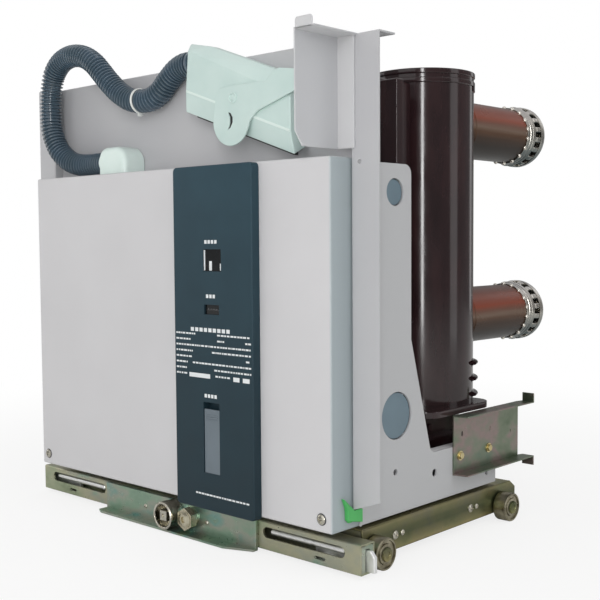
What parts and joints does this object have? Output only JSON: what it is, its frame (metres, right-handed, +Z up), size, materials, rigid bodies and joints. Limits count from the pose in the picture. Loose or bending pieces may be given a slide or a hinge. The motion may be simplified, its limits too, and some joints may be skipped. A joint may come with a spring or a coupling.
{
  "type": "vacuum circuit breaker",
  "caption": "Withdrawable medium-voltage vacuum circuit breaker on a wheeled racking truck, with insulated poles, tulip contacts on arms, a control panel and a hose with its plug.",
  "frame": {"origin": "on the floor, under the middle of the breaker's box without its hose and plug", "axes": "+X to the right seen from the front, +Y to the rear, the way the contacts point, +Z up"},
  "size_m": [0.686, 0.605, 0.6899],
  "materials": {
    "cover_paint": "light grey powder coat, fine texture",
    "sheet_paint": "grey powder coat, satin",
    "bracket_paint": "grey powder coat, satin",
    "disc_plastic": "blue grey plastic, satin",
    "panel_plastic": "dark slate moulded plastic, satin",
    "window_plastic": "smoked clear plastic, polished",
    "flap_plastic": "grey plastic, satin",
    "pole_epoxy": "dark brown cast epoxy, glossy",
    "arm_epoxy": "red brown cast epoxy, glossy",
    "silvered_copper": "silver plated copper, bright",
    "yellow_zinc": "zinc plate with yellow and green passivation",
    "clear_zinc": "zinc plated steel, bright",
    "wheel_steel": "turned steel, dark passivated",
    "nut_bronze": "bronze, machined",
    "latch_chrome": "bright plated steel",
    "green_nylon": "green nylon",
    "mint_plastic": "pale mint moulded plastic",
    "hose_nylon": "dark slate corrugated nylon, satin",
    "tie_nylon": "white nylon"
  },
  "bodies": {
    "breaker": {"front_cover": "cover_paint", "tall_sheet": "sheet_paint", "side_plate_left": "sheet_paint", "side_plate_right": "sheet_paint", "housing_top": "sheet_paint", "rear_wall": "sheet_paint", "pole_shelf": "sheet_paint", "housing_floor": "sheet_paint", "plug_bracket": "bracket_paint", "side_discs": "disc_plastic", "control_panel": "panel_plastic", "panel_windows": "window_plastic", "lever_flap": "flap_plastic", "pole_left": "pole_epoxy", "pole_middle": "pole_epoxy", "pole_right": "pole_epoxy", "arm_low_left": "arm_epoxy", "arm_low_middle": "arm_epoxy", "arm_low_right": "arm_epoxy", "arm_high_left": "arm_epoxy", "arm_high_middle": "arm_epoxy", "arm_high_right": "arm_epoxy", "tulip_low_left": "silvered_copper", "tulip_low_middle": "silvered_copper", "tulip_low_right": "silvered_copper", "tulip_high_left": "silvered_copper", "tulip_high_middle": "silvered_copper", "tulip_high_right": "silvered_copper", "shutter_bracket_left": "yellow_zinc", "shutter_bracket_right": "yellow_zinc", "truck_side_left": "yellow_zinc", "truck_side_right": "yellow_zinc", "truck_front": "yellow_zinc", "truck_rear": "yellow_zinc", "truck_top_plate": "yellow_zinc", "screw_nut": "nut_bronze", "corner_guides": "green_nylon", "cable_gland": "mint_plastic", "plug_body": "mint_plastic", "plug_lever": "mint_plastic", "hose": "hose_nylon", "cable_tie": "tie_nylon"},
    "beam": {"racking_beam": "yellow_zinc", "guide_rail_left": "yellow_zinc", "guide_rail_right": "yellow_zinc", "centre_plate": "yellow_zinc", "drive_sleeve": "clear_zinc", "interlock_hex": "clear_zinc"},
    "screw": {"racking_screw": "clear_zinc"},
    "latch_l": {"latch_left": "latch_chrome"},
    "latch_r": {"latch_right": "latch_chrome"},
    "wheel_fl": {"wheel_front_left": "wheel_steel"},
    "wheel_fr": {"wheel_front_right": "wheel_steel"},
    "wheel_rl": {"wheel_rear_left": "wheel_steel"},
    "wheel_rr": {"wheel_rear_right": "wheel_steel"}
  },
  "joints": [
    {"name": "racking_slide", "type": "slide", "parent": "breaker", "child": "beam", "axis": [0, -1, 0], "range_m": [0, 0.2]},
    {"name": "screw_turn", "type": "hinge", "parent": "beam", "child": "screw", "pos_m": [0, -0.2425, 0.024], "axis": [0, 1, 0], "range_deg": [0, 7200]},
    {"name": "latch_left_slide", "type": "slide", "parent": "beam", "child": "latch_l", "axis": [1, 0, 0], "range_m": [0, 0.02], "stiffness_N_per_m": 300, "springref_m": -0.015},
    {"name": "latch_right_slide", "type": "slide", "parent": "beam", "child": "latch_r", "axis": [-1, 0, 0], "range_m": [0, 0.02], "stiffness_N_per_m": 300, "springref_m": -0.015},
    {"name": "wheel_front_left_spin", "type": "hinge", "parent": "breaker", "child": "wheel_fl", "pos_m": [-0.316, -0.1925, 0.02], "axis": [1, 0, 0], "continuous": true},
    {"name": "wheel_front_right_spin", "type": "hinge", "parent": "breaker", "child": "wheel_fr", "pos_m": [0.316, -0.1925, 0.02], "axis": [1, 0, 0], "continuous": true},
    {"name": "wheel_rear_left_spin", "type": "hinge", "parent": "breaker", "child": "wheel_rl", "pos_m": [-0.316, 0.0945, 0.02], "axis": [1, 0, 0], "continuous": true},
    {"name": "wheel_rear_right_spin", "type": "hinge", "parent": "breaker", "child": "wheel_rr", "pos_m": [0.316, 0.0945, 0.02], "axis": [1, 0, 0], "continuous": true}
  ],
  "couplings": [
    {"joint": "screw_turn", "follows": "racking_slide", "rad_per_m": 628.32}
  ]
}
